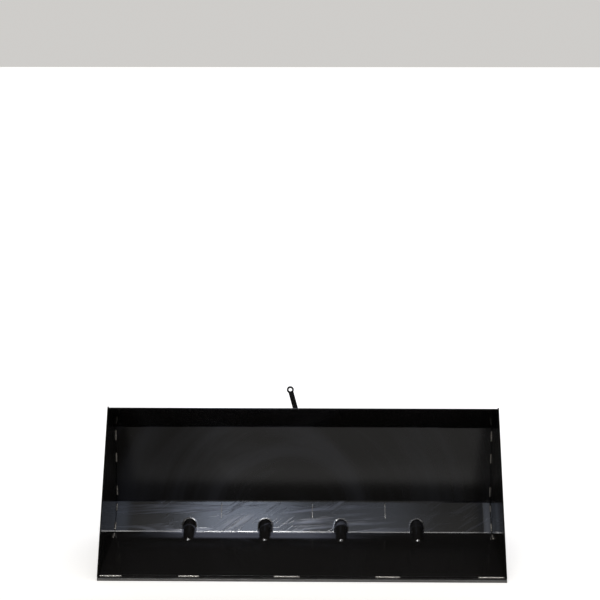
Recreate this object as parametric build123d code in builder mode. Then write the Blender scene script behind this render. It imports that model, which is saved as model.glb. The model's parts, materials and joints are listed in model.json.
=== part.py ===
"""Front bucket for an all-terrain vehicle: a wide open-fronted bucket of folded sheet that tips about a
hinge on its push frame. A spring-loaded latch holds it level, and a pulley on the frame's mast takes the
rope that lifts it. Millimetres, +Y from the cutting edge back towards the vehicle, +Z up, and +X to the
right of someone who stands in front of the bucket and looks at it, which is the right of every name
here. The origin is on the ground, under the middle of the whole assembly.

Side profiles are drawn as (depth, height): depth is measured back from the front of the cutting edge.
"""

import os
from math import atan2, cos, hypot, radians, sin

from build123d import *

# Whole assembly
total_depth = 1023.0
front_y = -total_depth / 2

# Bucket
bucket_width = 1150.0
sheet = 3.0
bend_radius = 6.0
plate_margin = 5.0
edge_thickness = 8.0
edge_depth = 60.0
edge_bevel = 3.0
sheet_setback = 18.0
floor_top = edge_thickness + sheet
floor_end = (360.0, floor_top)
back_foot = (430.0, 88.0)
back_top = (430.0, 326.0)
lip_tip = (292.0, 420.0)
inner_half_width = bucket_width / 2 - sheet

# Pressed ribs across the bend between the floor and the sloped panel
rib_places = (-345.0, -115.0, 115.0, 345.0)
rib_radius = 17.0
rib_floor_leg = 70.0
rib_slope_leg = 42.0
rib_floor_sink = 8.0
rib_slope_sink = 3.0
rib_rim = 5.0
rib_reach = 60.0

# Weld beads; a run along the cutting edge is (place across the bucket, length)
bead = 3.0
edge_weld_runs = ((-538, 62), (-318, 59), (-42, 73), (242, 70), (533, 74))
slot_weld_places = (-250.0, 28.0, 250.0)
slot_weld_length = 50.0
slot_weld_below_bend = 5.0
slot_weld_height = 0.8

# Tip hinge
hinge = (480.0, 95.0)
hinge_places = {"left": -250.0, "right": 250.0}
tip_angle = 50.0
pin_radius = 10.0
bush_radius = 13.0
boss_radius = 19.0
boss_length = 40.0
plate_thickness = 6.0
thrust_washer = 2.0
side_play = 0.2
running_gap = 0.05
stop_gap = 0.3
plate_inner_face = boss_length / 2 + side_play + thrust_washer
plate_outer_face = plate_inner_face + plate_thickness

# Skids
skid_width = 70.0
skid_front = 262.0
skid_rear = hinge[0] + 14.0

# Pieces welded on behind the bucket: each outline runs this far into it, and is cut back to its skin
weld_on = 6.0
stiffener_leg = 40.0
stiffener_wall = 4.0
stiffener_length = 516.0
bracket_top = 214.0
striker_bottom = 146.0
striker_top = 300.0

# Push frame tubes
tube = 50.0
tube_wall = 4.0
tube_corner = 6.0
tube_hollow = tube - 2 * tube_wall
hollow_corner = tube_corner - tube_wall
tube_centre_height = 95.0
tube_top = tube_centre_height + tube / 2
tube_bottom = tube_centre_height - tube / 2
stop_face_radius = 39.1
crossbar_front = hinge[0] + stop_face_radius + stop_gap
crossbar_half_length = 300.0
middle_bar_front = 720.0
rear_bar_front = 910.0
rear_bar_half_length = 155.0
rail_front_place = 200.0
rail_rear_place = 100.0

# Hitch plates
hitch = (995.0, 150.0)
hitch_hole = 8.25
hitch_round = 28.0
hitch_gap = 40.0
hitch_plate = 8.0

# Mast, latch and pulley
mast_inner_face = 30.0
mast_plate = 6.0
mast_outer_face = mast_inner_face + mast_plate
latch_boss = 24.0
pulley_boss = 26.0
mast_foot = 6.0
mast_window = ((590, 136), (698, 136), (610, 180))
window_corner = 8.0
latch_pivot = (550.0, 268.0)
pulley_axle = (605.0, 235.0)
spring_anchor = (654.0, 186.0)
face_plate_top = 236.0
latch_bolt_radius = 6.0
pulley_bolt_radius = 8.0
anchor_radius = 4.0
bolt_clearance = 0.1
striker = (470.0, 285.0)
striker_radius = 7.0
striker_plate_inner = 24.0
striker_outer_gap = 44.0
landing_face = 506.0
landing_thickness = 8.0
landing_height = 64.0
landing_margin = 3.0
landing_corner = 4.0
hook_thickness = 8.0
hook_nose_radius = 17.0
throat_gap = 0.4
tail_length = 42.0
sleeve_radius = 10.0
lever_width = 16.0
lever_thickness = 6.0
lever_route = ((-14.0, 276.5), (-14.0, 304.0), (-41.8, 410.0))
lever_eye_radius = 11.0
lever_eye_hole = 5.5
pulley_radius = 38.0
pulley_width = 18.0
pulley_web = 9.0
pulley_hub = 17.0
pulley_rim = 29.0
pulley_taper = 2.0
rope_radius = 4.5
pulley_bush_radius = 11.0
peg_radius = 3.0
spring_place = 19.0
spring_radius = 6.0
spring_wire = 1.5
leg_wire = 1.3
spring_turns = 19
lever_bend = 40.0

# Rubber stop pad and its screws
pad_width = 46.0
pad_height = 58.0
pad_centre = 195.0
pad_gap = 0.1
pad_seat = 6.0
pad_screw_heights = (pad_centre - 18, pad_centre + 18)
pad_screw_radius = 4.0
pad_head_radius = 6.5
pad_nut = 6.5


def side_plane(x):
    """The plane across the bucket at x, whose own axes are depth and height."""
    return Plane(origin=(x, front_y, 0), x_dir=(0, 1, 0), z_dir=(1, 0, 0))


def plan_plane(height):
    """The level plane at a height, whose own axes are x and depth."""
    return Plane(origin=(0, front_y, height), x_dir=(1, 0, 0), z_dir=(0, 0, 1))


def front_plane(depth):
    """The upright plane at a depth, facing the front, whose own axes are x and height."""
    return Plane(origin=(0, front_y + depth, 0), x_dir=(1, 0, 0), z_dir=(0, -1, 0))


def keep(piece, name):
    """Label a finished piece and write it."""
    piece.part.label = name
    export_step(piece.part, f"parts/{name}.step")


def shifted(point, depth=0.0, height=0.0):
    """A (depth, height) point moved by the given amounts."""
    return (point[0] + depth, point[1] + height)


def from_hinge(distance, angle, along=0.0):
    """A point at a distance and angle from the tip hinge, then moved square to that direction."""
    turn = radians(angle)
    return shifted(
        hinge,
        distance * cos(turn) - along * sin(turn),
        distance * sin(turn) + along * cos(turn),
    )


def other_leg(hypotenuse, leg):
    """The other short side of a right-angled triangle."""
    return (hypotenuse**2 - leg**2) ** 0.5


os.makedirs("parts", exist_ok=True)

slope_run = back_foot[0] - floor_end[0]
slope_rise = back_foot[1] - floor_end[1]
slope_angle = atan2(slope_rise, slope_run)

# ---------------------------------------------------------------- bucket shell: one folded sheet
shell_bends = (floor_end, back_foot, back_top)

# each rib is pressed up out of the sheet: a domed bar, hollow from below, whose axis runs from just under
# the floor to just behind the sloped panel
rib_low = shifted(floor_end, other_leg(rib_radius, rib_floor_sink) - rib_floor_leg, -rib_floor_sink)
rib_up = rib_slope_leg - other_leg(rib_radius, rib_slope_sink)
rib_high = shifted(
    floor_end,
    rib_up * cos(slope_angle) + rib_slope_sink * sin(slope_angle),
    rib_up * sin(slope_angle) - rib_slope_sink * cos(slope_angle),
)
rib_run = hypot(rib_high[0] - rib_low[0], rib_high[1] - rib_low[1])
rib_angle = atan2(rib_high[1] - rib_low[1], rib_high[0] - rib_low[0])


def rib_bar(place, radius):
    """A bar with a domed top and round ends along a rib's axis, and straight sides below it."""
    axis_plane = Plane(
        origin=(place, front_y + rib_low[0], rib_low[1]),
        x_dir=(1, 0, 0),
        z_dir=(0, -sin(rib_angle), cos(rib_angle)),
    )
    with BuildPart() as bar:
        with BuildSketch(axis_plane):
            with Locations((0, rib_run / 2)):
                SlotCenterToCenter(rib_run, 2 * radius, rotation=90)
        extrude(amount=-rib_reach)
        with BuildSketch(axis_plane):
            with Locations((0, rib_run / 2)):
                SlotCenterToCenter(rib_run, 2 * radius, rotation=90)
                Rectangle(radius, rib_run + 2 * radius, align=(Align.MIN, Align.CENTER), mode=Mode.INTERSECT)
        revolve(axis=Axis(axis_plane.origin, axis_plane.y_dir))
    return bar.part


with BuildPart() as ribs:
    for place in rib_places:
        add(rib_bar(place, rib_radius))
    # only what rises above the middle of the sheet is kept
    with BuildSketch(side_plane(-inner_half_width)):
        with BuildLine():
            Polyline((sheet_setback, floor_top), *shell_bends, lip_tip, close=True)
        make_face()
        offset(amount=sheet / 2, kind=Kind.ARC)
    extrude(amount=2 * inner_half_width, mode=Mode.INTERSECT)

with BuildPart() as folded_sheet:
    with BuildSketch(side_plane(-inner_half_width)):
        with BuildLine():
            FilletPolyline((sheet_setback, floor_top), *shell_bends, lip_tip, radius=bend_radius)
            offset(amount=sheet, side=Side.RIGHT)
        make_face()
    extrude(amount=2 * inner_half_width)

with BuildPart() as bucket_shell:
    add(folded_sheet.part)
    add(ribs.part)
    fillet(new_edges(folded_sheet.part, ribs.part, combined=bucket_shell.part), rib_rim)
    for place in rib_places:
        add(rib_bar(place, rib_radius - sheet), mode=Mode.SUBTRACT)
keep(bucket_shell, "bucket_shell")

# The space that the bucket takes up, which the brackets behind it are cut back to
with BuildPart() as bucket_block:
    with BuildSketch(side_plane(-inner_half_width)):
        with BuildLine():
            Polyline((sheet_setback, floor_top), *shell_bends, lip_tip, close=True)
        make_face()
        offset(amount=sheet, kind=Kind.ARC)
    extrude(amount=2 * inner_half_width)

# ---------------------------------------------------------------- side plates
# the outline is grown by the margin, which rounds its corners and stands it proud of the sheet
plate_corners = (
    (plate_margin + 2, edge_thickness + plate_margin),
    (floor_end[0], edge_thickness + plate_margin),
    back_foot,
    back_top,
    shifted(lip_tip, plate_margin - 1.5),
)
for side, x in (("left", -bucket_width / 2), ("right", inner_half_width)):
    with BuildPart() as side_plate:
        with BuildSketch(side_plane(x)):
            with BuildLine():
                Polyline(*plate_corners, close=True)
            make_face()
            offset(amount=plate_margin, kind=Kind.ARC)
        extrude(amount=sheet)
    keep(side_plate, f"side_plate_{side}")

# ---------------------------------------------------------------- cutting edge and its stitch welds
with BuildPart() as cutting_edge:
    with BuildSketch(side_plane(-bucket_width / 2)):
        with BuildLine():
            Polyline(
                (0, 0),
                (edge_depth, 0),
                (edge_depth, edge_thickness),
                (edge_bevel, edge_thickness),
                (0, edge_thickness - edge_bevel / 2),
                close=True,
            )
        make_face()
    extrude(amount=bucket_width)
keep(cutting_edge, "cutting_edge")

with BuildPart() as edge_welds:
    for place, length in edge_weld_runs:
        with BuildSketch(side_plane(place - length / 2)):
            with Locations((sheet_setback, edge_thickness)):
                Circle(bead)
                Rectangle(bead, bead, align=(Align.MAX, Align.MIN), mode=Mode.INTERSECT)
        extrude(amount=length)
keep(edge_welds, "edge_welds")

# ---------------------------------------------------------------- stitch welds in the side corners
# (bend that the run is measured from, its panel's angle, distance to the run, its length)
back_angle = radians(90)
slope_length = hypot(slope_run, slope_rise)
back_length = back_top[1] - back_foot[1]
side_weld_runs = (
    (back_foot, back_angle, back_length - 44, 32.0),
    (back_foot, back_angle, 124.0, 30.0),
    (back_foot, back_angle, 18.0, 30.0),
    (floor_end, slope_angle, slope_length - 34, 24.0),
    (floor_end, slope_angle, 8.0, 26.0),
    (floor_end, 0.0, -46.0, 36.0),
)
with BuildPart() as side_welds:
    for side in (-1, 1):
        for bend, angle, distance, length in side_weld_runs:
            depth, height = shifted(bend, distance * cos(angle), distance * sin(angle))
            corner = Plane(
                origin=(side * inner_half_width, front_y + depth, height),
                x_dir=(-side, 0, 0),
                z_dir=(0, cos(angle), sin(angle)),
            )
            with BuildSketch(corner):
                Circle(bead)
                Rectangle(
                    bead,
                    bead,
                    align=(Align.MIN, Align.MIN if side > 0 else Align.MAX),
                    mode=Mode.INTERSECT,
                )
            extrude(amount=length)
keep(side_welds, "side_welds")

# ---------------------------------------------------------------- weld lines over the bracket tabs
with BuildPart() as slot_welds:
    slot_start = shifted(
        back_foot,
        -slot_weld_below_bend * cos(slope_angle),
        -slot_weld_below_bend * sin(slope_angle),
    )
    for place in slot_weld_places:
        tab = Plane(
            origin=(place, front_y + slot_start[0], slot_start[1]),
            x_dir=(1, 0, 0),
            z_dir=(0, -sin(slope_angle), cos(slope_angle)),
        )
        with BuildSketch(tab):
            with Locations((0, -slot_weld_length / 2)):
                SlotOverall(slot_weld_length, bead, rotation=90)
        extrude(amount=slot_weld_height)
keep(slot_welds, "slot_welds")

# ---------------------------------------------------------------- stiffeners behind the back panel
stiffener_corner = shifted(back_top, sheet - weld_on, -4)
for side, x in (("left", -stiffener_length - striker_outer_gap), ("right", striker_outer_gap)):
    with BuildPart() as stiffener:
        with BuildSketch(side_plane(x)):
            with Locations(stiffener_corner):
                Rectangle(stiffener_leg + weld_on, stiffener_wall, align=(Align.MIN, Align.MAX))
                Rectangle(stiffener_wall + weld_on + 1, stiffener_leg, align=(Align.MIN, Align.MAX))
        extrude(amount=stiffener_length)
        add(bucket_block.part, mode=Mode.SUBTRACT)
    keep(stiffener, f"back_stiffener_{side}")

# ---------------------------------------------------------------- skids and hinge brackets
# the flat between the two from_hinge points is what meets the crossbar at full tip
bracket_profile = (
    shifted(floor_end, 12, edge_thickness - floor_top),
    shifted(hinge, 6, edge_thickness - hinge[1]),
    from_hinge(stop_face_radius, -tip_angle, -25),
    from_hinge(stop_face_radius, -tip_angle, 3),
    shifted(hinge, 30, -4),
    shifted(hinge, 26, 22),
    (back_top[0] + 14, bracket_top),
    (back_foot[0], bracket_top),
    shifted(back_foot, -20, -10),
    shifted(floor_end, 12, 19),
)
for side, place in hinge_places.items():
    with BuildPart() as skid:
        with BuildSketch(side_plane(place - skid_width / 2)):
            with BuildLine():
                Polyline(
                    (skid_front + 2 * edge_thickness, 0),
                    (skid_rear - edge_thickness, 0),
                    (skid_rear, edge_thickness),
                    (skid_front, edge_thickness),
                    close=True,
                )
            make_face()
        extrude(amount=skid_width)
    keep(skid, f"skid_{side}")

    outward = 1 if place > 0 else -1
    for layer, face in (("inner", -plate_inner_face), ("outer", plate_outer_face)):
        start = place + outward * face - (plate_thickness if outward > 0 else 0)
        with BuildPart() as bracket:
            with BuildSketch(side_plane(start)):
                with BuildLine():
                    Polyline(*bracket_profile, close=True)
                make_face()
                with Locations(hinge):
                    Circle(pin_radius + bolt_clearance, mode=Mode.SUBTRACT)
            extrude(amount=plate_thickness)
            add(bucket_block.part, mode=Mode.SUBTRACT)
        keep(bracket, f"hinge_bracket_{side}_{layer}")

# ---------------------------------------------------------------- hinge pins, washers, clips, bushes, lugs
pin_head_radius = 16.0
pin_head = 6.0
pin_tail = 18.0
clip_place = plate_outer_face + 9.0
clip_radius = 2.2
ring_radius = 15.0
ring_wire = 1.6
web_thickness = 24.0
nipple_radius = 3.0


def hinge_plane(place, out):
    """The plane square to the hinge axis, facing outward, a distance out from a hinge's middle."""
    outward = 1 if place > 0 else -1
    return Plane(
        origin=(place + outward * out, front_y + hinge[0], hinge[1]),
        x_dir=(0, 1, 0),
        z_dir=(outward, 0, 0),
    )


for side, place in hinge_places.items():
    outward = 1 if place > 0 else -1
    with BuildPart() as hinge_pin:
        with BuildSketch(hinge_plane(place, -plate_outer_face - pin_head)):
            Circle(pin_head_radius)
        extrude(amount=pin_head)
        with BuildSketch(hinge_plane(place, -plate_outer_face)):
            Circle(pin_radius)
        extrude(amount=2 * plate_outer_face + pin_tail)
        chamfer(hinge_pin.edges().sort_by(Axis.X)[-1 if outward > 0 else 0], 2)
        with BuildSketch(Plane(
            origin=(place + outward * clip_place, front_y + hinge[0], hinge[1] - 2 * pin_radius)
        )):
            Circle(clip_radius + bolt_clearance)
        extrude(amount=4 * pin_radius, mode=Mode.SUBTRACT)
    keep(hinge_pin, f"hinge_pin_{side}")

    with BuildPart() as clip:
        with BuildSketch(Plane(
            origin=(place + outward * clip_place, front_y + hinge[0], hinge[1] - ring_radius)
        )):
            Circle(clip_radius)
        extrude(amount=2 * ring_radius)
        with Locations(hinge_plane(place, clip_place)):
            Torus(ring_radius, ring_wire)
    keep(clip, f"hinge_clip_{side}")

    with BuildPart() as bush:
        with BuildSketch(hinge_plane(place, -boss_length / 2)):
            Circle(bush_radius)
            Circle(pin_radius + running_gap, mode=Mode.SUBTRACT)
        extrude(amount=boss_length)
    keep(bush, f"hinge_bush_{side}")

    with BuildPart() as lug:
        with BuildSketch(side_plane(place - web_thickness / 2)):
            with BuildLine():
                Polyline(
                    shifted(hinge, 0, boss_radius),
                    (crossbar_front, hinge[1] + boss_radius),
                    (crossbar_front, hinge[1] - boss_radius),
                    shifted(hinge, 0, -boss_radius),
                    close=True,
                )
            make_face()
        extrude(amount=web_thickness)
        with BuildSketch(hinge_plane(place, -boss_length / 2)):
            Circle(boss_radius)
        extrude(amount=boss_length)
        with BuildSketch(hinge_plane(place, -boss_length / 2)):
            Circle(bush_radius)
        extrude(amount=boss_length, mode=Mode.SUBTRACT)
    keep(lug, f"hinge_lug_{side}")

with BuildPart() as thrust_washers:
    for place in hinge_places.values():
        for face in (-plate_inner_face, boss_length / 2 + side_play):
            with BuildSketch(hinge_plane(place, face)):
                Circle(boss_radius)
                Circle(pin_radius + bolt_clearance, mode=Mode.SUBTRACT)
            extrude(amount=thrust_washer)
keep(thrust_washers, "thrust_washers")

# each nipple stands on the flat top of its lug, just behind the boss
nipple_depth = front_y + hinge[0] + 8
nipple_base = hinge[1] + boss_radius
with BuildPart() as grease_nipples:
    for place in hinge_places.values():
        with BuildSketch(Plane(origin=(place, nipple_depth, nipple_base))):
            RegularPolygon(nipple_radius + 1, 6)
        extrude(amount=4)
        with BuildSketch(Plane(origin=(place, nipple_depth, nipple_base + 4))):
            Circle(nipple_radius - 1)
        extrude(amount=3)
        with Locations((place, nipple_depth, nipple_base + 8)):
            Sphere(nipple_radius - 0.4)
keep(grease_nipples, "grease_nipples")

# ---------------------------------------------------------------- striker bracket, pin and landing plate
landing_back = landing_face - landing_thickness
striker_profile = (
    (back_foot[0], striker_bottom),
    (landing_back, pad_centre - landing_height / 2 - 1),
    (landing_back, pad_centre + landing_height / 2 + 1),
    shifted(striker, 24, -23),
    (striker[0] + 18, striker_top),
    (back_top[0] - weld_on, striker_top),
)
for layer, x in (
    ("left", -striker_plate_inner - plate_thickness),
    ("right", striker_plate_inner),
):
    with BuildPart() as striker_plate:
        with BuildSketch(side_plane(x)):
            with BuildLine():
                Polyline(*striker_profile, close=True)
            make_face()
            with Locations(striker):
                Circle(striker_radius + bolt_clearance, mode=Mode.SUBTRACT)
        extrude(amount=plate_thickness)
        add(bucket_block.part, mode=Mode.SUBTRACT)
    keep(striker_plate, f"striker_plate_{layer}")

striker_half_length = striker_plate_inner + plate_thickness + 3
with BuildPart() as striker_pin:
    with BuildSketch(side_plane(-striker_half_length)):
        with Locations(striker):
            Circle(striker_radius)
    extrude(amount=2 * striker_half_length)
    chamfer(striker_pin.edges().filter_by(GeomType.CIRCLE), 1)
keep(striker_pin, "striker_pin")

with BuildPart() as landing_plate:
    with BuildSketch(front_plane(landing_face)):
        with Locations((0, pad_centre)):
            RectangleRounded(
                2 * (striker_plate_inner + plate_thickness + landing_margin),
                landing_height,
                landing_corner,
            )
    extrude(amount=landing_thickness)
keep(landing_plate, "landing_plate")

# ---------------------------------------------------------------- push frame tubes
with BuildPart() as front_crossbar:
    with BuildSketch(side_plane(-crossbar_half_length)):
        with Locations((crossbar_front + tube / 2, tube_centre_height)):
            RectangleRounded(tube, tube, tube_corner)
            RectangleRounded(tube_hollow, tube_hollow, hollow_corner, mode=Mode.SUBTRACT)
    extrude(amount=2 * crossbar_half_length)
keep(front_crossbar, "front_crossbar")

with BuildPart() as rear_crossbar:
    with BuildSketch(side_plane(-rear_bar_half_length)):
        with Locations((rear_bar_front + tube / 2, tube_centre_height)):
            RectangleRounded(tube, tube, tube_corner)
            RectangleRounded(tube_hollow, tube_hollow, hollow_corner, mode=Mode.SUBTRACT)
    extrude(amount=2 * rear_bar_half_length)
keep(rear_crossbar, "rear_crossbar")

plug_flange = 3.0
plug_depth = 18.0
plug_size = tube_hollow - 0.4
with BuildPart() as tube_plugs:
    for front, half_length in (
        (crossbar_front, crossbar_half_length),
        (rear_bar_front, rear_bar_half_length),
    ):
        for direction in (-1, 1):
            mouth = Plane(
                origin=(direction * half_length, front_y + front + tube / 2, tube_centre_height),
                x_dir=(0, 1, 0),
                z_dir=(direction, 0, 0),
            )
            with BuildSketch(mouth):
                RectangleRounded(tube, tube, tube_corner)
            extrude(amount=plug_flange, taper=20)
            with BuildSketch(mouth):
                RectangleRounded(plug_size, plug_size, hollow_corner)
            extrude(amount=-plug_depth)
keep(tube_plugs, "tube_plugs")

# the rails run from the front bar to the rear bar, closing in towards the hitch
rail_front = crossbar_front + tube
rail_run = rear_bar_front - rail_front
rail_shift = rail_rear_place - rail_front_place
rail_length = hypot(rail_run, rail_shift)
overrun = tube
rail_blocks = {}
for side, outward in (("left", -1), ("right", 1)):
    along = Vector(outward * rail_shift, rail_run, 0).normalized()
    start = Vector(outward * rail_front_place, front_y + rail_front, tube_centre_height) - along * overrun
    section = Plane(origin=start, x_dir=(along.Y, -along.X, 0), z_dir=along)
    between = Plane(origin=(-bucket_width / 2, front_y + rail_front, 0), x_dir=(1, 0, 0))
    with BuildPart() as rail:
        with BuildSketch(section):
            RectangleRounded(tube, tube, tube_corner)
            RectangleRounded(tube_hollow, tube_hollow, hollow_corner, mode=Mode.SUBTRACT)
        extrude(amount=rail_length + 2 * overrun)
        with BuildSketch(between):
            Rectangle(bucket_width, rail_run, align=(Align.MIN, Align.MIN))
        extrude(amount=2 * tube_top, mode=Mode.INTERSECT)
    keep(rail, f"push_rail_{side}")
    with BuildPart() as rail_block:
        with BuildSketch(section):
            Rectangle(tube, tube)
        extrude(amount=rail_length + 2 * overrun)
    rail_blocks[side] = rail_block.part

with BuildPart() as middle_crossbar:
    with BuildSketch(side_plane(-rail_front_place)):
        with Locations((middle_bar_front + tube / 2, tube_centre_height)):
            RectangleRounded(tube, tube, tube_corner)
            RectangleRounded(tube_hollow, tube_hollow, hollow_corner, mode=Mode.SUBTRACT)
    extrude(amount=2 * rail_front_place)
    # the ends are cut at a slant, to meet the rails' inner sides
    inner_face = tube / 2 * rail_length / rail_run
    with BuildSketch(plan_plane(tube_bottom - 1)):
        with BuildLine():
            Polyline(
                (-rail_front_place + inner_face, rail_front),
                (rail_front_place - inner_face, rail_front),
                (rail_rear_place - inner_face, rear_bar_front),
                (-rail_rear_place + inner_face, rear_bar_front),
                close=True,
            )
        make_face()
    extrude(amount=tube + 2, mode=Mode.INTERSECT)
keep(middle_crossbar, "middle_crossbar")

# ---------------------------------------------------------------- corner gussets on top of the frame
gusset_leg = 70.0
gusset_thickness = 5.0
gusset_corner = (rail_front_place - 12, rail_front - 34)
gusset_tip = (rail_front_place - 34, rail_front + gusset_leg)
gusset_nose = 20.0
with BuildPart() as corner_gussets:
    for outward in (-1, 1):
        with BuildSketch(plan_plane(tube_top)):
            with BuildLine():
                Polyline(
                    (outward * gusset_corner[0], gusset_corner[1]),
                    (outward * (gusset_corner[0] - gusset_leg), gusset_corner[1]),
                    (outward * (gusset_corner[0] - gusset_leg), gusset_corner[1] + gusset_nose),
                    (outward * gusset_tip[0], gusset_tip[1]),
                    (outward * (gusset_tip[0] + gusset_nose / 2), gusset_tip[1]),
                    close=True,
                )
            make_face()
        extrude(amount=gusset_thickness)
keep(corner_gussets, "corner_gussets")

# ---------------------------------------------------------------- hitch plates
for side, outward in (("left", -1), ("right", 1)):
    for layer, reach in (("inner", -1), ("outer", 1)):
        middle = outward * (rail_rear_place + reach * (hitch_gap + hitch_plate) / 2)
        with BuildPart() as plate:
            with BuildSketch(side_plane(middle - hitch_plate / 2)):
                with Locations(hitch):
                    Circle(hitch_round)
                with Locations((rear_bar_front + tube, tube_centre_height)):
                    Rectangle(2, tube - 2 * tube_corner, align=(Align.MIN, Align.CENTER))
                make_hull()
                with Locations(hitch):
                    Circle(hitch_hole, mode=Mode.SUBTRACT)
            extrude(amount=hitch_plate)
        keep(plate, f"hitch_plate_{side}_{layer}")

# ---------------------------------------------------------------- mast
for side, x in (("left", -mast_outer_face), ("right", mast_inner_face)):
    with BuildPart() as mast:
        with BuildSketch(side_plane(x)):
            with Locations(latch_pivot):
                Circle(latch_boss)
            with Locations(pulley_axle):
                Circle(pulley_boss)
            with Locations((crossbar_front, tube_top), (middle_bar_front, tube_top)):
                Rectangle(tube - tube_corner, mast_foot, align=(Align.MIN, Align.MIN))
            make_hull()
            with Locations(latch_pivot):
                Circle(latch_bolt_radius + bolt_clearance, mode=Mode.SUBTRACT)
            with Locations(pulley_axle):
                Circle(pulley_bolt_radius + bolt_clearance, mode=Mode.SUBTRACT)
            with Locations(spring_anchor):
                Circle(anchor_radius + bolt_clearance, mode=Mode.SUBTRACT)
        extrude(amount=mast_plate)
        with BuildSketch(side_plane(x)) as window:
            with BuildLine():
                Polyline(*mast_window, close=True)
            make_face()
            fillet(window.vertices(), window_corner)
        extrude(amount=mast_plate, mode=Mode.SUBTRACT)
    keep(mast, f"mast_plate_{side}")

with BuildPart() as face_plate:
    with BuildSketch(front_plane(crossbar_front + tube_corner)):
        with Locations((0, tube_top)):
            Rectangle(2 * mast_inner_face, face_plate_top - tube_top, align=(Align.CENTER, Align.MIN))
        with Locations(*((0, height) for height in pad_screw_heights)):
            Circle(pad_screw_radius + bolt_clearance, mode=Mode.SUBTRACT)
    extrude(amount=tube_corner)
keep(face_plate, "mast_face_plate")

with BuildPart() as stop_pad:
    with BuildSketch(front_plane(crossbar_front)):
        with Locations((0, pad_centre)):
            RectangleRounded(pad_width, pad_height, tube_corner)
    extrude(amount=crossbar_front - landing_face - pad_gap)
    pad_front = stop_pad.faces().sort_by(Axis.Y)[0]
    chamfer(pad_front.edges(), 1)
    for height in pad_screw_heights:
        with BuildSketch(front_plane(crossbar_front)):
            with Locations((0, height)):
                Circle(pad_screw_radius + bolt_clearance)
        extrude(amount=2 * tube_corner + 2, mode=Mode.SUBTRACT)
        with BuildSketch(front_plane(crossbar_front - pad_seat)):
            with Locations((0, height)):
                Circle(pad_head_radius + 1)
        extrude(amount=2 * tube_corner, mode=Mode.SUBTRACT)
keep(stop_pad, "stop_pad")

with BuildPart() as pad_screws:
    for height in pad_screw_heights:
        with BuildSketch(front_plane(crossbar_front + tube_corner + pad_nut + 2)):
            with Locations((0, height)):
                Circle(pad_screw_radius)
        extrude(amount=tube_corner + pad_nut + 2 + pad_seat)
        with BuildSketch(front_plane(crossbar_front - pad_seat)):
            with Locations((0, height)):
                Circle(pad_head_radius)
                RegularPolygon(pad_screw_radius - 0.8, 6, mode=Mode.SUBTRACT)
        extrude(amount=pad_seat - 1)
        with BuildSketch(front_plane(crossbar_front + tube_corner + pad_nut)):
            with Locations((0, height)):
                RegularPolygon(pad_head_radius, 6, major_radius=False)
        extrude(amount=pad_nut)
keep(pad_screws, "pad_screws")

with BuildPart() as spring_anchor_rod:
    with BuildSketch(side_plane(-mast_outer_face - 2)):
        with Locations(spring_anchor):
            Circle(anchor_radius)
    extrude(amount=2 * mast_outer_face + 4)
keep(spring_anchor_rod, "spring_anchor")

# ---------------------------------------------------------------- latch: hook, sleeve, peg and lever
striker_swing = hypot(latch_pivot[0] - striker[0], striker[1] - latch_pivot[1])
with BuildPart() as latch_hook:
    with BuildSketch(side_plane(-hook_thickness / 2)):
        with Locations(latch_pivot):
            Circle(2 * sleeve_radius)
        with Locations(striker):
            Circle(hook_nose_radius)
        make_hull()
        with Locations(shifted(latch_pivot, 0, -tail_length / 2)):
            SlotCenterToCenter(tail_length, 2 * peg_radius + 6, rotation=90)
        with Locations(latch_pivot):
            Circle(sleeve_radius, mode=Mode.SUBTRACT)
        with Locations(shifted(latch_pivot, 0, -tail_length)):
            Circle(peg_radius, mode=Mode.SUBTRACT)
    extrude(amount=hook_thickness)
    # the throat curves about the latch pivot, so that the hook swings clear of the striker
    with BuildSketch(side_plane(-hook_thickness / 2)):
        with Locations(latch_pivot):
            Circle(striker_swing + striker_radius + throat_gap)
            Circle(striker_swing - striker_radius - throat_gap, mode=Mode.SUBTRACT)
        with Locations(striker):
            Rectangle(
                4 * striker_radius, 2 * hook_nose_radius,
                align=(Align.CENTER, Align.MAX), mode=Mode.INTERSECT,
            )
            Circle(striker_radius + throat_gap)
    extrude(amount=hook_thickness, mode=Mode.SUBTRACT)
keep(latch_hook, "latch_hook")

sleeve_half_length = mast_inner_face - side_play
with BuildPart() as latch_sleeve:
    with BuildSketch(side_plane(-sleeve_half_length)):
        with Locations(latch_pivot):
            Circle(sleeve_radius)
            Circle(latch_bolt_radius + running_gap, mode=Mode.SUBTRACT)
    extrude(amount=2 * sleeve_half_length)
keep(latch_sleeve, "latch_sleeve")

spring_start = shifted(latch_pivot, 0, -tail_length)
with BuildPart() as spring_peg:
    with BuildSketch(side_plane(-hook_thickness / 2 - 1)):
        with Locations(spring_start):
            Circle(peg_radius)
    extrude(amount=spring_place + spring_radius + hook_thickness / 2 + 1)
keep(spring_peg, "spring_peg")

with BuildPart() as release_lever:
    with BuildSketch(front_plane(latch_pivot[0] + lever_thickness / 2)):
        with BuildLine():
            FilletPolyline(*lever_route, radius=lever_bend)
        trace(line_width=lever_width)
        with Locations(lever_route[-1]):
            Circle(lever_eye_radius)
            Circle(lever_eye_hole, mode=Mode.SUBTRACT)
    extrude(amount=lever_thickness)
    fillet(release_lever.edges().filter_by(Axis.Y).sort_by(Axis.Z)[:2], 1)
    with BuildSketch(side_plane(-mast_inner_face)):
        with Locations(latch_pivot):
            Circle(sleeve_radius)
    extrude(amount=2 * mast_inner_face, mode=Mode.SUBTRACT)
keep(release_lever, "release_lever")

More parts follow.
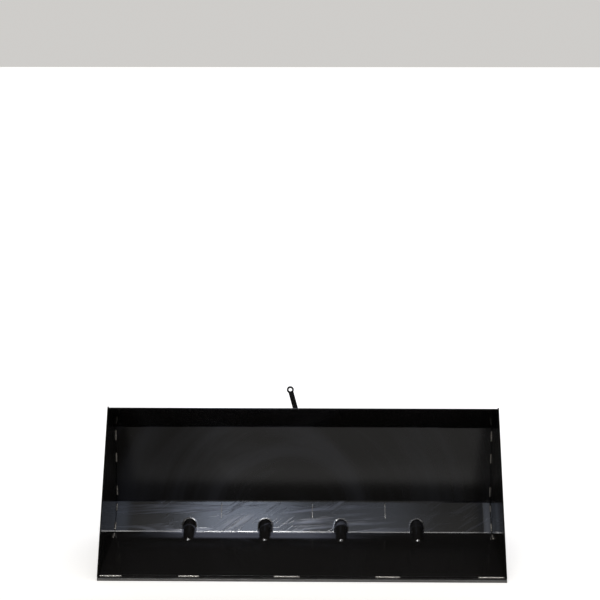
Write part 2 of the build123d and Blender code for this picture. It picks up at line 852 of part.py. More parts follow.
# ---------------------------------------------------------------- latch spring, closely wound
spring_run = hypot(spring_anchor[0] - spring_start[0], spring_anchor[1] - spring_start[1])
coil_pitch = 2 * spring_wire - 0.1
coil_length = (spring_turns - 1) * coil_pitch
coil_start = (spring_run - coil_length) / 2
spring_line = Plane(
    origin=(spring_place, front_y + spring_start[0], spring_start[1]),
    x_dir=(0, spring_anchor[0] - spring_start[0], spring_anchor[1] - spring_start[1]),
    z_dir=(1, 0, 0),
)
spring_axis = Axis(spring_line.origin, spring_line.x_dir)
with BuildPart() as latch_spring:
    with BuildSketch(spring_line):
        for turn in range(spring_turns):
            with Locations((coil_start + turn * coil_pitch, spring_radius)):
                Circle(spring_wire)
        with Locations((spring_run / 2, spring_radius)):
            Rectangle(coil_length, spring_wire)
        # the last turn at each end closes in to the leg
        with Locations((coil_start, 0), (coil_start + coil_length, 0)):
            Rectangle(spring_wire, spring_radius, align=(Align.CENTER, Align.MIN))
    revolve(axis=spring_axis)
    for end, direction in ((0, 1), (spring_run, -1)):
        with Locations(spring_line * Pos(end, 0, 0)):
            Torus(spring_radius, spring_wire)
        with BuildSketch(Plane(
            origin=spring_line.from_local_coords((end + direction * spring_radius, 0, 0)),
            z_dir=spring_line.x_dir * direction,
        )):
            Circle(leg_wire)
        extrude(amount=coil_start - spring_radius)
keep(latch_spring, "latch_spring")

# ---------------------------------------------------------------- lift pulley on its bolt
with BuildPart() as lift_pulley:
    with BuildSketch(Plane(origin=(0, front_y + pulley_axle[0], pulley_axle[1]))) as sheave:
        with BuildLine():
            # the right half of the section, from the bore out to the rim, then mirrored
            Polyline(
                (0, pulley_bush_radius),
                (pulley_width / 2, pulley_bush_radius),
                (pulley_width / 2, pulley_hub),
                (pulley_web / 2, pulley_hub + pulley_taper),
                (pulley_web / 2, pulley_rim - pulley_taper),
                (pulley_width / 2, pulley_rim),
                (pulley_width / 2, pulley_radius - 1),
                (pulley_width / 2 - 1, pulley_radius),
                (0, pulley_radius),
            )
            mirror(about=Plane.YZ)
        make_face()
        with Locations((0, pulley_radius)):
            Circle(rope_radius + 2, mode=Mode.SUBTRACT)
    revolve(axis=Axis((0, front_y + pulley_axle[0], pulley_axle[1]), (1, 0, 0)))
keep(lift_pulley, "lift_pulley")

with BuildPart() as pulley_bush:
    with BuildSketch(side_plane(-pulley_width / 2 - 0.2)):
        with Locations(pulley_axle):
            Circle(pulley_bush_radius)
            Circle(pulley_bolt_radius + running_gap, mode=Mode.SUBTRACT)
    extrude(amount=pulley_width + 0.4)
keep(pulley_bush, "pulley_bush")

spacer_inner = pulley_width / 2 + 0.4
with BuildPart() as pulley_spacers:
    for x in (-mast_inner_face, spacer_inner):
        with BuildSketch(side_plane(x)):
            with Locations(pulley_axle):
                Circle(pulley_bush_radius + 1)
                Circle(pulley_bolt_radius + bolt_clearance, mode=Mode.SUBTRACT)
        extrude(amount=mast_inner_face - spacer_inner)
keep(pulley_spacers, "pulley_spacers")

# ---------------------------------------------------------------- bolts through the mast
washer = 2.0
grip = mast_outer_face + washer
mast_bolts = (
    ("pulley", pulley_axle, pulley_bolt_radius, 10.0, 24.0),
    ("latch", latch_pivot, latch_bolt_radius, 7.5, 19.0),
)
for name, point, radius, head, across_flats in mast_bolts:
    with BuildPart() as bolt:
        with BuildSketch(side_plane(-grip - head)):
            with Locations(point):
                RegularPolygon(across_flats / 2, 6, major_radius=False)
        extrude(amount=head)
        with BuildSketch(side_plane(-grip)):
            with Locations(point):
                Circle(radius)
        extrude(amount=2 * grip + 1.4 * head)
        chamfer(bolt.faces().sort_by(Axis.X)[-1].edges(), 1)
    keep(bolt, f"{name}_bolt")

    with BuildPart() as nut:
        with BuildSketch(side_plane(grip)):
            with Locations(point):
                RegularPolygon(across_flats / 2, 6, major_radius=False)
                Circle(radius, mode=Mode.SUBTRACT)
        extrude(amount=1.1 * head)
    keep(nut, f"{name}_nut")

with BuildPart() as mast_washers:
    for name, point, radius, head, across_flats in mast_bolts:
        for x in (-grip, mast_outer_face):
            with BuildSketch(side_plane(x)):
                with Locations(point):
                    Circle(across_flats / 2 + 2)
                    Circle(radius + bolt_clearance, mode=Mode.SUBTRACT)
            extrude(amount=washer)
keep(mast_washers, "mast_washers")
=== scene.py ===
"""Studio scene of a front bucket on its push frame: glossy black powder coat, rippled weld beads,
plated and bare steel. Everything is in metres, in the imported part's own frame, so an object's own
coordinates are the part's coordinates. Places that repeat the part's design are written in
millimetres, as x, depth behind the cutting edge, and height.
"""

import json
import math

import bmesh
import bpy
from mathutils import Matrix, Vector


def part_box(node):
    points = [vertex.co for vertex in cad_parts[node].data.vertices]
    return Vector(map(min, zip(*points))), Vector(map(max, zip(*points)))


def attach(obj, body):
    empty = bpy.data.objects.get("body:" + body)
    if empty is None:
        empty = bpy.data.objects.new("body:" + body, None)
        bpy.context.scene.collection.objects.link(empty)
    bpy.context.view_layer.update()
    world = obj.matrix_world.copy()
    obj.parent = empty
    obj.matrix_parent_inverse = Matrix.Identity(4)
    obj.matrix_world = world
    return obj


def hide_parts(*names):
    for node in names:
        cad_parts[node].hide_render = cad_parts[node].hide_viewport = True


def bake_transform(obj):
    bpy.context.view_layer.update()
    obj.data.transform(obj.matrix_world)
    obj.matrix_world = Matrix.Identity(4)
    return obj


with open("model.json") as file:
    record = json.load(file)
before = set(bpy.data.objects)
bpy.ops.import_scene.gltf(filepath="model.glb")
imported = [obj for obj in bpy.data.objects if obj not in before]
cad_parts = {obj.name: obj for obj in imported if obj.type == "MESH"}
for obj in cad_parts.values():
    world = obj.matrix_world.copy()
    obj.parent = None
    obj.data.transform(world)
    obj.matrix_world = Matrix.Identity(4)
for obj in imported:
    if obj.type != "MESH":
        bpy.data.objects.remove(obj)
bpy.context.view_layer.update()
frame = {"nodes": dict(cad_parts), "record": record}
nodes = frame["nodes"]

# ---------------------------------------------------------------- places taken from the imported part
MM = 0.001
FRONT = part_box("cutting_edge")[0].y  # the cutting edge's front, which depths are measured from
INNER_HALF_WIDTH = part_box("bucket_shell")[1].x / MM
EDGE_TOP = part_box("cutting_edge")[1].z / MM
SHEET = 3.0
SHEET_SETBACK = 18.0
FLOOR_END = (360.0, EDGE_TOP + SHEET)
BACK_FOOT = (430.0, 88.0)
BACK_HEIGHT = 238.0
WALL_SKIN = BACK_FOOT[0] + SHEET
TUBE_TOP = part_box("front_crossbar")[1].z / MM
CROSSBAR_FRONT = (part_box("front_crossbar")[0].y - FRONT) / MM
CROSSBAR_REAR = (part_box("front_crossbar")[1].y - FRONT) / MM
MIDDLE_FRONT = (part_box("middle_crossbar")[0].y - FRONT) / MM
MIDDLE_REAR = (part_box("middle_crossbar")[1].y - FRONT) / MM
REAR_BAR_FRONT = (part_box("rear_crossbar")[0].y - FRONT) / MM
REAR_BAR_REAR = (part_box("rear_crossbar")[1].y - FRONT) / MM
PULLEY_AXLE = (605.0, 235.0)

RIGHT, BACK, UP = Vector((1, 0, 0)), Vector((0, 1, 0)), Vector((0, 0, 1))
slope = Vector((0, BACK_FOOT[0] - FLOOR_END[0], BACK_FOOT[1] - FLOOR_END[1]))
SLOPE_LENGTH = slope.length
SLOPE_UP = slope.normalized()
SLOPE_FACE = SLOPE_UP.cross(RIGHT) * -1


def at(x, depth, height):
    """The place at x, a depth behind the cutting edge and a height, all in millimetres."""
    return Vector((x * MM, FRONT + depth * MM, height * MM))


# ---------------------------------------------------------------- camera and light
CAMERA_HEIGHT = 1.612
CAMERA_DISTANCE = 3.96
CAMERA_SIDE = 0.048
CAMERA_PITCH = math.radians(11.5)
CAMERA_YAW = math.radians(0.76)
LENS = 90.0
SENSOR = 36.0

scene = bpy.context.scene
scene.view_settings.view_transform = "Standard"
scene.view_settings.look = "None"

camera = bpy.data.objects.new("camera", bpy.data.cameras.new("camera"))
camera.data.lens = LENS
camera.data.sensor_width = SENSOR
camera.location = (CAMERA_SIDE, FRONT - CAMERA_DISTANCE, CAMERA_HEIGHT)
camera.rotation_euler = (math.pi / 2 - CAMERA_PITCH, 0, CAMERA_YAW)
scene.collection.objects.link(camera)
scene.camera = camera

COOL = (0.69, 0.79, 1.0)
NEUTRAL = (1.0, 0.99, 0.97)
WARM = (1.0, 0.95, 0.88)


def area_light(name, place, target, size, luminance, colour):
    """A rectangular soft light facing a target; luminance is what a mirror would show."""
    data = bpy.data.lights.new(name, "AREA")
    data.shape = "RECTANGLE"
    data.size, data.size_y = size
    data.energy = luminance * math.pi * size[0] * size[1]
    data.color = colour
    light = bpy.data.objects.new(name, data)
    light.location = place
    aim = Vector(target) - Vector(place)
    light.rotation_euler = aim.to_track_quat("-Z", "Y").to_euler()
    light.visible_camera = False
    scene.collection.objects.link(light)
    return light


OVERHEAD = 2.6
BOX_DEPTH = 1.0
BOX_PLACE = FRONT - 0.8
BOX_LEAN = 0.4
STRIP_DEPTH = 0.3
STRIP_PLACE = FRONT - 0.24
STRIP_LEAN = 0.6
# soft boxes, each from a left end to a right end, that overlap so the glow fades out to the right
object_lights = [
    area_light(
        f"ceiling_{name}",
        ((left + right) / 2, BOX_PLACE, OVERHEAD),
        ((left + right) / 2, BOX_PLACE + BOX_LEAN, 0),
        (right - left, BOX_DEPTH),
        luminance,
        COOL,
    )
    for name, left, right, luminance in (
        ("core", -0.56, -0.12, 7.4),
        ("middle", -0.58, 0.15, 1.2),
        ("wide", -0.60, 0.50, 1.3),
    )
]
# bright strips just in front of the lip, which draw the line along the bend of the floor
object_lights += [
    area_light(
        f"strip_{name}",
        (middle, STRIP_PLACE, OVERHEAD),
        (middle, STRIP_PLACE + STRIP_LEAN, 0),
        (width, STRIP_DEPTH),
        luminance,
        NEUTRAL,
    )
    for name, middle, width, luminance in (
        ("core", -0.27, 0.46, 70.0),
        ("wide", 0, 2.4, 8.0),
    )
]
# soft light on everything, from the front left, the right and behind
area_light("front_key", (-0.8, FRONT - 3.0, 3.2), (0, 0, 0.1), (0.8, 0.4), 14.0, WARM)
area_light("side_fill", (3.2, FRONT - 0.4, 1.6), (0, 0, 0.2), (1.2, 1.2), 2.0, WARM)
area_light("rear_box", (0.6, 3.2, 2.4), (0, 0.2, 0.1), (2.2, 1.0), 4.0, COOL)

ROOM_COLOUR = (1.0, 0.98, 0.95, 1)
ROOM_STRENGTH = 0.62

world = bpy.data.worlds.new("studio")
world.use_nodes = True
room = world.node_tree.nodes["Background"]
room.inputs["Color"].default_value = ROOM_COLOUR
room.inputs["Strength"].default_value = ROOM_STRENGTH
scene.world = world


# ---------------------------------------------------------------- material tools
class Material:
    """A procedural material over one Principled shader, with short ways to add its nodes."""

    def __init__(self, name, **values):
        self.made = bpy.data.materials.new(name)
        self.made.use_nodes = True
        self.tree = self.made.node_tree
        self.shader = self.tree.nodes["Principled BSDF"]
        for key, value in values.items():
            self.shader.inputs[key.replace("_", " ")].default_value = value
        self.place = self.tree.nodes.new("ShaderNodeTexCoord").outputs["Object"]

    def link(self, source, target):
        self.tree.links.new(source, target)

    def drive(self, socket, source):
        """Give one of the shader's sockets a value that varies over the surface."""
        self.link(source, self.shader.inputs[socket])

    def node(self, kind, inputs=None, **settings):
        """A node whose inputs, named or numbered, are links or plain values."""
        made = self.tree.nodes.new(kind)
        for key, value in settings.items():
            setattr(made, key, value)
        for key, value in (inputs or {}).items():
            if isinstance(value, bpy.types.NodeSocket):
                self.link(value, made.inputs[key])
            else:
                made.inputs[key].default_value = value
        return made

    def axis(self, letter):
        """One of the object's own coordinates."""
        return self.node("ShaderNodeSeparateXYZ", {"Vector": self.place}).outputs[letter]

    def stretched(self, scale):
        """The object's coordinates, scaled along each axis."""
        mapping = self.node("ShaderNodeMapping", {"Vector": self.place, "Scale": scale})
        return mapping.outputs["Vector"]

    def noise(self, scale, detail=4.0, roughness=0.55, distortion=0.0, where=None):
        """Cloudy noise over the object's coordinates, or over other ones."""
        return self.node(
            "ShaderNodeTexNoise",
            {
                "Vector": where or self.place,
                "Scale": scale,
                "Detail": detail,
                "Roughness": roughness,
                "Distortion": distortion,
            },
        ).outputs["Fac"]

    def ranged(self, value, low, high, to_low=0.0, to_high=1.0):
        """A value mapped smoothly from one range to another, and held at its ends."""
        return self.node(
            "ShaderNodeMapRange",
            {"Value": value, 1: low, 2: high, 3: to_low, 4: to_high},
            interpolation_type="SMOOTHSTEP",
        ).outputs["Result"]

    def falling(self, value, low, high):
        """1 up to low, and smoothly down to 0 at high."""
        return self.ranged(value, low, high, 1.0, 0.0)

    def behind(self, start, end):
        """0 up to start and 1 from end, both measured in metres behind the cutting edge."""
        return self.ranged(self.axis("Y"), FRONT + start, FRONT + end)

    def maths(self, operation, a, b=0.0, clamp=False):
        made = self.node("ShaderNodeMath", {0: a, 1: b}, operation=operation, use_clamp=clamp)
        return made.outputs[0]

    def plus(self, a, b):
        return self.maths("ADD", a, b)

    def minus(self, a, b):
        return self.maths("SUBTRACT", a, b)

    def unsigned(self, value):
        return self.maths("ABSOLUTE", value)

    def product(self, *factors):
        made = factors[0]
        for factor in factors[1:]:
            made = self.maths("MULTIPLY", made, factor)
        return made

    def mixed(self, factor, a, b):
        """A colour mixed from a to b."""
        return self.node("ShaderNodeMix", {0: factor, 6: a, 7: b}, data_type="RGBA").outputs[2]

    def bump(self, height, strength, distance, before=None):
        """A normal tilted by a height, on top of an earlier bump where one is given."""
        inputs = {"Height": height, "Strength": strength, "Distance": distance}
        if before:
            inputs["Normal"] = before
        return self.node("ShaderNodeBump", inputs).outputs["Normal"]

    def vector_maths(self, operation, inputs):
        return self.node("ShaderNodeVectorMath", inputs, operation=operation)

    def way(self, direction):
        """The dot product of a point and a direction, so a longer direction counts faster."""
        return self.vector_maths("DOT_PRODUCT", {0: self.place, 1: direction}).outputs["Value"]

    def length(self, vector):
        return self.vector_maths("LENGTH", {0: vector}).outputs["Value"]

    def pair(self, first, second):
        """Two values as one vector."""
        return self.node("ShaderNodeCombineXYZ", {0: first, 1: second}).outputs["Vector"]

    def distance_from(self, point, flatten):
        """Distance from a point, after each axis is scaled by flatten."""
        offset = self.vector_maths("SUBTRACT", {0: self.place, 1: point}).outputs[0]
        return self.length(self.vector_maths("MULTIPLY", {0: offset, 1: flatten}).outputs[0])


FLOOR_COLOUR = (0.9, 0.892, 0.88, 1)
GLOW_IN_FRONT = 0.10
GLOW_ELSEWHERE = 0.5


def floor_material():
    """Pale studio floor that glows a little, and less in front of the bucket, which mirrors it."""
    floor = Material("studio_floor", Base_Color=FLOOR_COLOUR, Roughness=0.9)
    floor.shader.inputs["Emission Color"].default_value = (1, 1, 1, 1)
    floor.drive("Roughness", floor.ranged(floor.noise(3.0), 0.3, 0.7, 0.8, 0.95))
    far_away = floor.ranged(floor.distance_from((0, 0, 0), (1, 1, 0)), 1.4, 3.6)
    elsewhere = floor.maths("MAXIMUM", floor.behind(-0.35, -0.02), far_away)
    glow = floor.ranged(elsewhere, 0, 1, GLOW_IN_FRONT, GLOW_ELSEWHERE)
    floor.drive("Emission Strength", glow)
    return floor.made


# ---------------------------------------------------------------- the black coat
BLACK = (0.0042, 0.0039, 0.0037, 1)
# the wiping's bluish colour, which also paints the sheen of the ceiling light on the slope
WIPE_FILM_AND_SHEEN = (0.105, 0.112, 0.142, 1)
COAT_IOR = 1.38

# ends of the soft steps that pick out the panels: depths behind the cutting edge, and heights
SLOPE_FRONT, SLOPE_TOP = (0.352, 0.364), (0.086, 0.092)
WALL_FRONT = (0.426, 0.429)
FLOOR_STRIP_FRONT, FLOOR_STRIP_TOP = (0.306, 0.328), (0.012, 0.016)
PULLED_END = (0.546, 0.574)

# the wiping was heaviest left of the middle, which is also where the painted sheen of the ceiling
# light lies on the slope, and swirled on the wall about a place below it
WIPING_AND_SHEEN_MIDDLE = -0.14
WIPING_AND_SHEEN_REACH = (0.12, 0.46)
LIGHTEST_WIPING_AND_SHEEN = 0.14
SWIRL_MIDDLE = at(-60, 430, 40)
SWIRL_RINGS = 7.0
WALL_HAZE = 0.12
# painted reflection of the slope's sheen on the floor's back strip
FLOOR_STRIP_REFLECTION = 0.55
DUST_HAZE = 0.03

# how far the sheet's shine drops below the shader's usual level
USUAL_LEVEL = 0.5
DULLER_WALL = 0.06
DULLER_END_PLATE = 0.485
DULLER_UPPER_LEFT = 0.22

# bump distances, in metres
WAVE_HEIGHT = 0.004
PULL_HEIGHT = 0.003
SMEAR_HEIGHT = 0.00028
DRAWN_HEIGHT = 0.0006
PEEL_HEIGHT = 0.0006

# the ribs stand half a pitch and one and a half from the middle; reaches are in millimetres
RIB_PITCH = 0.230
RIB_TOP = 26.0
RIB_REACH = (15.0, 25.0)
RIB_DRAW = 1.2
BEND_REACH = 7.0


def wipe_streaks(coat, patches):
    """Streaks on the sloped panel: nearly level ones, and leaning ones inside the patches."""

    def wiped(lean, length, width, distortion):
        turn = math.radians(lean)
        along = (RIGHT * math.cos(turn) + SLOPE_UP * math.sin(turn)) / length
        across = (SLOPE_UP * math.cos(turn) - RIGHT * math.sin(turn)) / width
        return coat.noise(1.0, 4.0, 0.55, distortion, coat.pair(coat.way(along), coat.way(across)))

    level = coat.ranged(wiped(4, 0.34, 0.024, 0.9), 0.48, 0.68)
    leaning = coat.ranged(wiped(34, 0.26, 0.019, 1.4), 0.50, 0.68)
    return coat.maths(
        "ADD",
        coat.product(leaning, patches),
        coat.product(level, coat.minus(1.0, patches)),
        clamp=True,
    )


def drawn_up(coat, aside):
    """How far the sheet is drawn up, along the bend below the slope and around each rib's top."""
    start_of_slope = at(0, *FLOOR_END).dot(SLOPE_UP) / MM
    climbed = coat.minus(coat.way(SLOPE_UP / MM), start_of_slope)
    across_bend = coat.falling(climbed, 0.0, BEND_REACH)
    from_pair = coat.unsigned(coat.minus(aside, RIB_PITCH))
    from_rib = coat.unsigned(coat.minus(from_pair, RIB_PITCH / 2))
    past_top = coat.maths("MAXIMUM", coat.minus(climbed, RIB_TOP), 0.0)
    around_rib = coat.length(coat.pair(coat.product(from_rib, 1 / MM), past_top))
    return coat.plus(across_bend, coat.product(coat.falling(around_rib, *RIB_REACH), RIB_DRAW))


def black_coat():
    """Glossy black powder coat: wipe marks and a little dust over fine orange peel, on a sheet that
    is slightly wavy, pulled at the slope's right end, and drawn up at the bend and the ribs. The
    wiping's bluish tint also paints the sheen of the ceiling light on the slope, and a painted
    reflection of that sheen on the floor's back strip."""
    coat = Material("black_coat", Base_Color=BLACK, Roughness=0.12, IOR=COAT_IOR)
    x, height = coat.axis("X"), coat.axis("Z")
    aside = coat.unsigned(x)

    # where the coat lies: the slope, the back wall, the floor's back strip, the end plates' insides
    on_slope = coat.product(coat.behind(*SLOPE_FRONT), coat.falling(height, *SLOPE_TOP))
    on_wall = coat.behind(*WALL_FRONT)
    on_floor = coat.product(coat.behind(*FLOOR_STRIP_FRONT), coat.falling(height, *FLOOR_STRIP_TOP))
    on_end_plate = coat.product(
        coat.ranged(aside, (INNER_HALF_WIDTH - 1.5) * MM, (INNER_HALF_WIDTH - 0.5) * MM),
        coat.falling(aside, (INNER_HALF_WIDTH + 1) * MM, (INNER_HALF_WIDTH + 2) * MM),
    )

    # what the wiping and dust left, and a painted sheen: the residue is lightest and bluish where the
    # slope mirrors the ceiling light
    patches = coat.ranged(coat.noise(2.4, 2.0, 0.5, 0.8), 0.44, 0.58)
    from_middle = coat.unsigned(coat.minus(x, WIPING_AND_SHEEN_MIDDLE))
    # how heavy the wiping is across the bucket, which also shapes the painted sheen
    wiping_and_sheen = coat.ranged(from_middle, *WIPING_AND_SHEEN_REACH, 1.0, LIGHTEST_WIPING_AND_SHEEN)
    smears_and_sheen = coat.product(wipe_streaks(coat, patches), wiping_and_sheen, on_slope)
    swirl_radius = coat.distance_from(SWIRL_MIDDLE, (1, 0, 1))
    swirl_place = coat.pair(coat.product(swirl_radius, SWIRL_RINGS), coat.way(RIGHT * 1.6))
    swirls = coat.ranged(coat.noise(1.0, 3.0, 0.5, 1.2, swirl_place), 0.40, 0.75)
    haze_and_sheen = coat.maths(
        "ADD",
        smears_and_sheen,
        coat.plus(
            coat.product(swirls, on_wall, WALL_HAZE),
            # painted reflection of the slope's sheen on the floor's back strip, strongest where the
            # sheen is
            coat.product(wiping_and_sheen, wiping_and_sheen, wiping_and_sheen, on_floor, FLOOR_STRIP_REFLECTION),
        ),
        clamp=True,
    )
    dust = coat.ranged(coat.noise(150.0, 2.0), 0.63, 0.74)
    film_and_sheen = coat.maths("ADD", haze_and_sheen, coat.product(dust, DUST_HAZE), clamp=True)
    # this mix paints the slope's sheen and the floor strip's reflection of it into the coat's colour,
    # along with the wiping and dust
    coat.drive("Base Color", coat.mixed(film_and_sheen, BLACK, WIPE_FILM_AND_SHEEN))
    coat.drive("Roughness", coat.ranged(haze_and_sheen, 0.0, 0.9, 0.13, 0.22))

    # the end plates' insides and the wall's upper left shine less than the folded sheet
    ragged_x = coat.plus(x, coat.product(patches, 0.2))
    upper_left = coat.product(on_wall, coat.falling(ragged_x, -0.42, -0.16))
    dull = coat.plus(
        coat.product(on_end_plate, DULLER_END_PLATE), coat.product(upper_left, DULLER_UPPER_LEFT)
    )
    level = coat.minus(USUAL_LEVEL, coat.product(on_wall, DULLER_WALL))
    coat.drive("Specular IOR Level", coat.minus(level, dull))

    # the relief, from the sheet's slow waves to the coat's own grain
    pull = coat.product(coat.ranged(x, *PULLED_END), on_slope)
    drawn = coat.product(drawn_up(coat, aside), on_slope)
    waves = coat.bump(coat.noise(3.2, 1.0), 0.30, WAVE_HEIGHT)
    pulled = coat.bump(pull, 1.0, PULL_HEIGHT, waves)
    smeared = coat.bump(smears_and_sheen, 1.0, SMEAR_HEIGHT, pulled)
    bend = coat.bump(drawn, 1.0, DRAWN_HEIGHT, smeared)
    coat.drive("Normal", coat.bump(coat.noise(420.0, 2.0), 0.10, PEEL_HEIGHT, bend))
    return coat.made


# ---------------------------------------------------------------- the other finishes
# (first, last) value of the grain between which a bead's coat gives way to light steel flecks, which
# stand partly for wear and partly for painted glints
COATED_SPECKS_AND_GLINTS = (0.52, 0.66)
RUBBED_SPECKS_AND_GLINTS = (0.38, 0.54)


def weld_coat(name, first_glinting_speck, last_glinting_speck):
    """Weld beads under black coat, with light steel flecks where the grain is past
    first_glinting_speck: partly worn-through coat, partly painted glints.
    """
    coated, uncoated_and_glint = (0.010, 0.010, 0.010, 1), (0.36, 0.34, 0.31, 1)
    welds = Material(name, Base_Color=(0.008, 0.008, 0.0085, 1), Roughness=0.16, IOR=1.5)
    grain = welds.noise(640.0, 3.0)
    specks_and_glints = welds.ranged(grain, first_glinting_speck, last_glinting_speck)
    # light flecks in the colour: partly worn coat, partly painted glints
    welds.drive("Base Color", welds.mixed(specks_and_glints, coated, uncoated_and_glint))
    welds.drive("Metallic", welds.product(specks_and_glints, 0.65))
    welds.drive("Roughness", welds.ranged(welds.noise(260.0, 3.0), 0.35, 0.7, 0.14, 0.30))
    welds.drive("Normal", welds.bump(grain, 0.4, 0.0003))
    return welds.made


def coated_welds():
    """The beads that nothing rubs against."""
    return weld_coat("coated_welds", *COATED_SPECKS_AND_GLINTS)


def worn_edge():
    """The cutting edge's and skids' coat, rubbed to scratched steel low down and at the nose."""
    edge = Material("worn_edge", Base_Color=BLACK, Roughness=0.2, IOR=1.45)
    dark_steel, light_steel = (0.16, 0.155, 0.15, 1), (0.42, 0.41, 0.39, 1)
    scratches = edge.noise(1.0, 6.0, 0.7, 0.2, edge.stretched((24.0, 700.0, 900.0)))
    patches = edge.noise(16.0, 4.0)
    ragged_height = edge.plus(edge.axis("Z"), edge.product(patches, 0.002))
    ragged_depth = edge.minus(edge.axis("Y"), edge.product(scratches, 0.004))
    underside = edge.falling(ragged_height, 0.0010, 0.0020)
    nose = edge.falling(ragged_depth, FRONT - 0.0022, FRONT - 0.0008)
    rubbed = edge.maths("MAXIMUM", underside, edge.product(nose, 0.25))
    line = edge.product(edge.ranged(scratches, 0.58, 0.74), 0.25)
    steel = edge.maths("MAXIMUM", rubbed, line)
    bright = edge.mixed(scratches, dark_steel, light_steel)
    edge.drive("Base Color", edge.mixed(steel, BLACK, bright))
    edge.drive("Metallic", edge.ranged(steel, 0.3, 0.7))
    edge.drive("Roughness", edge.ranged(scratches, 0.3, 0.7, 0.18, 0.45))
    edge.drive("Normal", edge.bump(scratches, 0.35, 0.0003))
    return edge.made


def zinc_steel():
    """Bright zinc plate with the faint yellow and blue of its passivation."""
    yellow, blue, grey = (0.60, 0.56, 0.43, 1), (0.58, 0.60, 0.63, 1), (0.44, 0.43, 0.40, 1)
    zinc = Material("zinc_steel", Base_Color=(0.62, 0.61, 0.57, 1), Metallic=1.0, Roughness=0.3)
    clouds = zinc.ranged(zinc.noise(55.0, 3.0, 0.5, 1.0), 0.4, 0.62)
    spangle = zinc.noise(620.0, 3.0)
    flecks = zinc.ranged(spangle, 0.35, 0.65, 0.0, 0.4)
    zinc.drive("Base Color", zinc.mixed(flecks, zinc.mixed(clouds, yellow, blue), grey))
    zinc.drive("Roughness", zinc.ranged(spangle, 0.3, 0.7, 0.22, 0.42))
    zinc.drive("Normal", zinc.bump(spangle, 0.15, 0.0002))
    return zinc.made


def bare_steel():
    """Oiled, drawn steel with dark stains and fine lines."""
    clean, stained = (0.36, 0.35, 0.335, 1), (0.17, 0.155, 0.14, 1)
    steel = Material("bare_steel", Base_Color=(0.32, 0.31, 0.30, 1), Metallic=1.0, Roughness=0.38)
    lines = steel.noise(1.0, 6.0, 0.7, 0.0, steel.stretched((60.0, 900.0, 500.0)))
    stains = steel.ranged(steel.noise(45.0, 4.0, 0.6, 0.8), 0.42, 0.68)
    steel.drive("Base Color", steel.mixed(stains, clean, stained))
    steel.drive("Roughness", steel.ranged(lines, 0.3, 0.7, 0.26, 0.5))
    steel.drive("Normal", steel.bump(lines, 0.25, 0.0002))
    return steel.made


def sheave_steel():
    """Turned steel: fine rings about the axle, and a groove that the rope has polished."""
    light, dark, shiny = (0.42, 0.415, 0.40, 1), (0.30, 0.29, 0.275, 1), (0.60, 0.59, 0.57, 1)
    sheave = Material(
        "sheave_steel", Base_Color=(0.45, 0.45, 0.44, 1), Metallic=1.0, Roughness=0.35
    )
    radius = sheave.distance_from(at(0, *PULLEY_AXLE), (0, 1, 1))
    rings = sheave.maths("SINE", sheave.product(radius, 9000.0))
    blotches = sheave.noise(70.0, 4.0)
    groove = sheave.falling(sheave.unsigned(sheave.axis("X")), 0.0035, 0.0062)
    polished = sheave.product(groove, sheave.ranged(radius, 0.029, 0.031))
    turned = sheave.mixed(sheave.ranged(blotches, 0.35, 0.7), light, dark)
    sheave.drive("Base Color", sheave.mixed(polished, turned, shiny))
    rough = sheave.ranged(blotches, 0.3, 0.7, 0.3, 0.46)
    sheave.drive("Roughness", sheave.minus(rough, sheave.product(polished, 0.16)))
    sheave.drive("Normal", sheave.bump(rings, 0.3, 0.00008))
    return sheave.made


def bronze():
    """Turned bearing bronze, browned where hands and grease have been."""
    bright, brown = (0.58, 0.40, 0.19, 1), (0.27, 0.165, 0.075, 1)
    bush = Material("bronze", Base_Color=(0.55, 0.38, 0.18, 1), Metallic=1.0, Roughness=0.3)
    tarnish = bush.ranged(bush.noise(90.0, 4.0, 0.6, 0.6), 0.4, 0.7)
    rings = bush.noise(1.0, 3.0, 0.6, 0.0, bush.stretched((1800.0, 30.0, 30.0)))
    bush.drive("Base Color", bush.mixed(tarnish, bright, brown))
    bush.drive("Roughness", bush.ranged(tarnish, 0.0, 1.0, 0.24, 0.45))
    bush.drive("Normal", bush.bump(rings, 0.2, 0.0001))
    return bush.made


def black_rubber():
    """Moulded rubber with a chalky bloom and a slight grain."""
    black, chalky = (0.014, 0.014, 0.014, 1), (0.045, 0.044, 0.042, 1)
    rubber = Material("black_rubber", Base_Color=(0.02, 0.02, 0.02, 1), Roughness=0.8)
    bloom = rubber.ranged(rubber.noise(60.0, 4.0, 0.6), 0.45, 0.75)
    rubber.drive("Base Color", rubber.mixed(bloom, black, chalky))
    rubber.drive("Roughness", rubber.ranged(bloom, 0.0, 1.0, 0.68, 0.92))
    rubber.drive("Normal", rubber.bump(rubber.noise(1100.0, 2.0), 0.4, 0.0003))
    return rubber.made


def black_plastic():
    """Moulded plastic with a fine pebble grain, scuffed paler in places."""
    black, scuffed = (0.020, 0.020, 0.021, 1), (0.05, 0.05, 0.05, 1)
    plastic = Material("black_plastic", Base_Color=(0.025, 0.025, 0.025, 1), Roughness=0.5)
    pebbles = plastic.node("ShaderNodeTexVoronoi", {"Vector": plastic.place, "Scale": 900.0})
    cells = pebbles.outputs["Distance"]
    scuffs = plastic.ranged(plastic.noise(40.0, 5.0, 0.7), 0.55, 0.75)
    plastic.drive("Base Color", plastic.mixed(scuffs, black, scuffed))
    plastic.drive("Roughness", plastic.ranged(cells, 0.0, 0.6, 0.42, 0.6))
    plastic.drive("Normal", plastic.bump(cells, 0.35, 0.0003))
    return plastic.made


materials = {
    maker.__name__: maker()
    for maker in (
        black_coat,
        coated_welds,
        worn_edge,
        zinc_steel,
        bare_steel,
        sheave_steel,
        bronze,
        black_rubber,
        black_plastic,
    )
}

# the beads that stand for a CAD node are inside the bucket or on its edge, where loads rub them;
# their wider light flecks are partly this wear and partly painted glints
rubbed_and_glinting_welds = weld_coat("rubbed_and_glinting_welds", *RUBBED_SPECKS_AND_GLINTS)

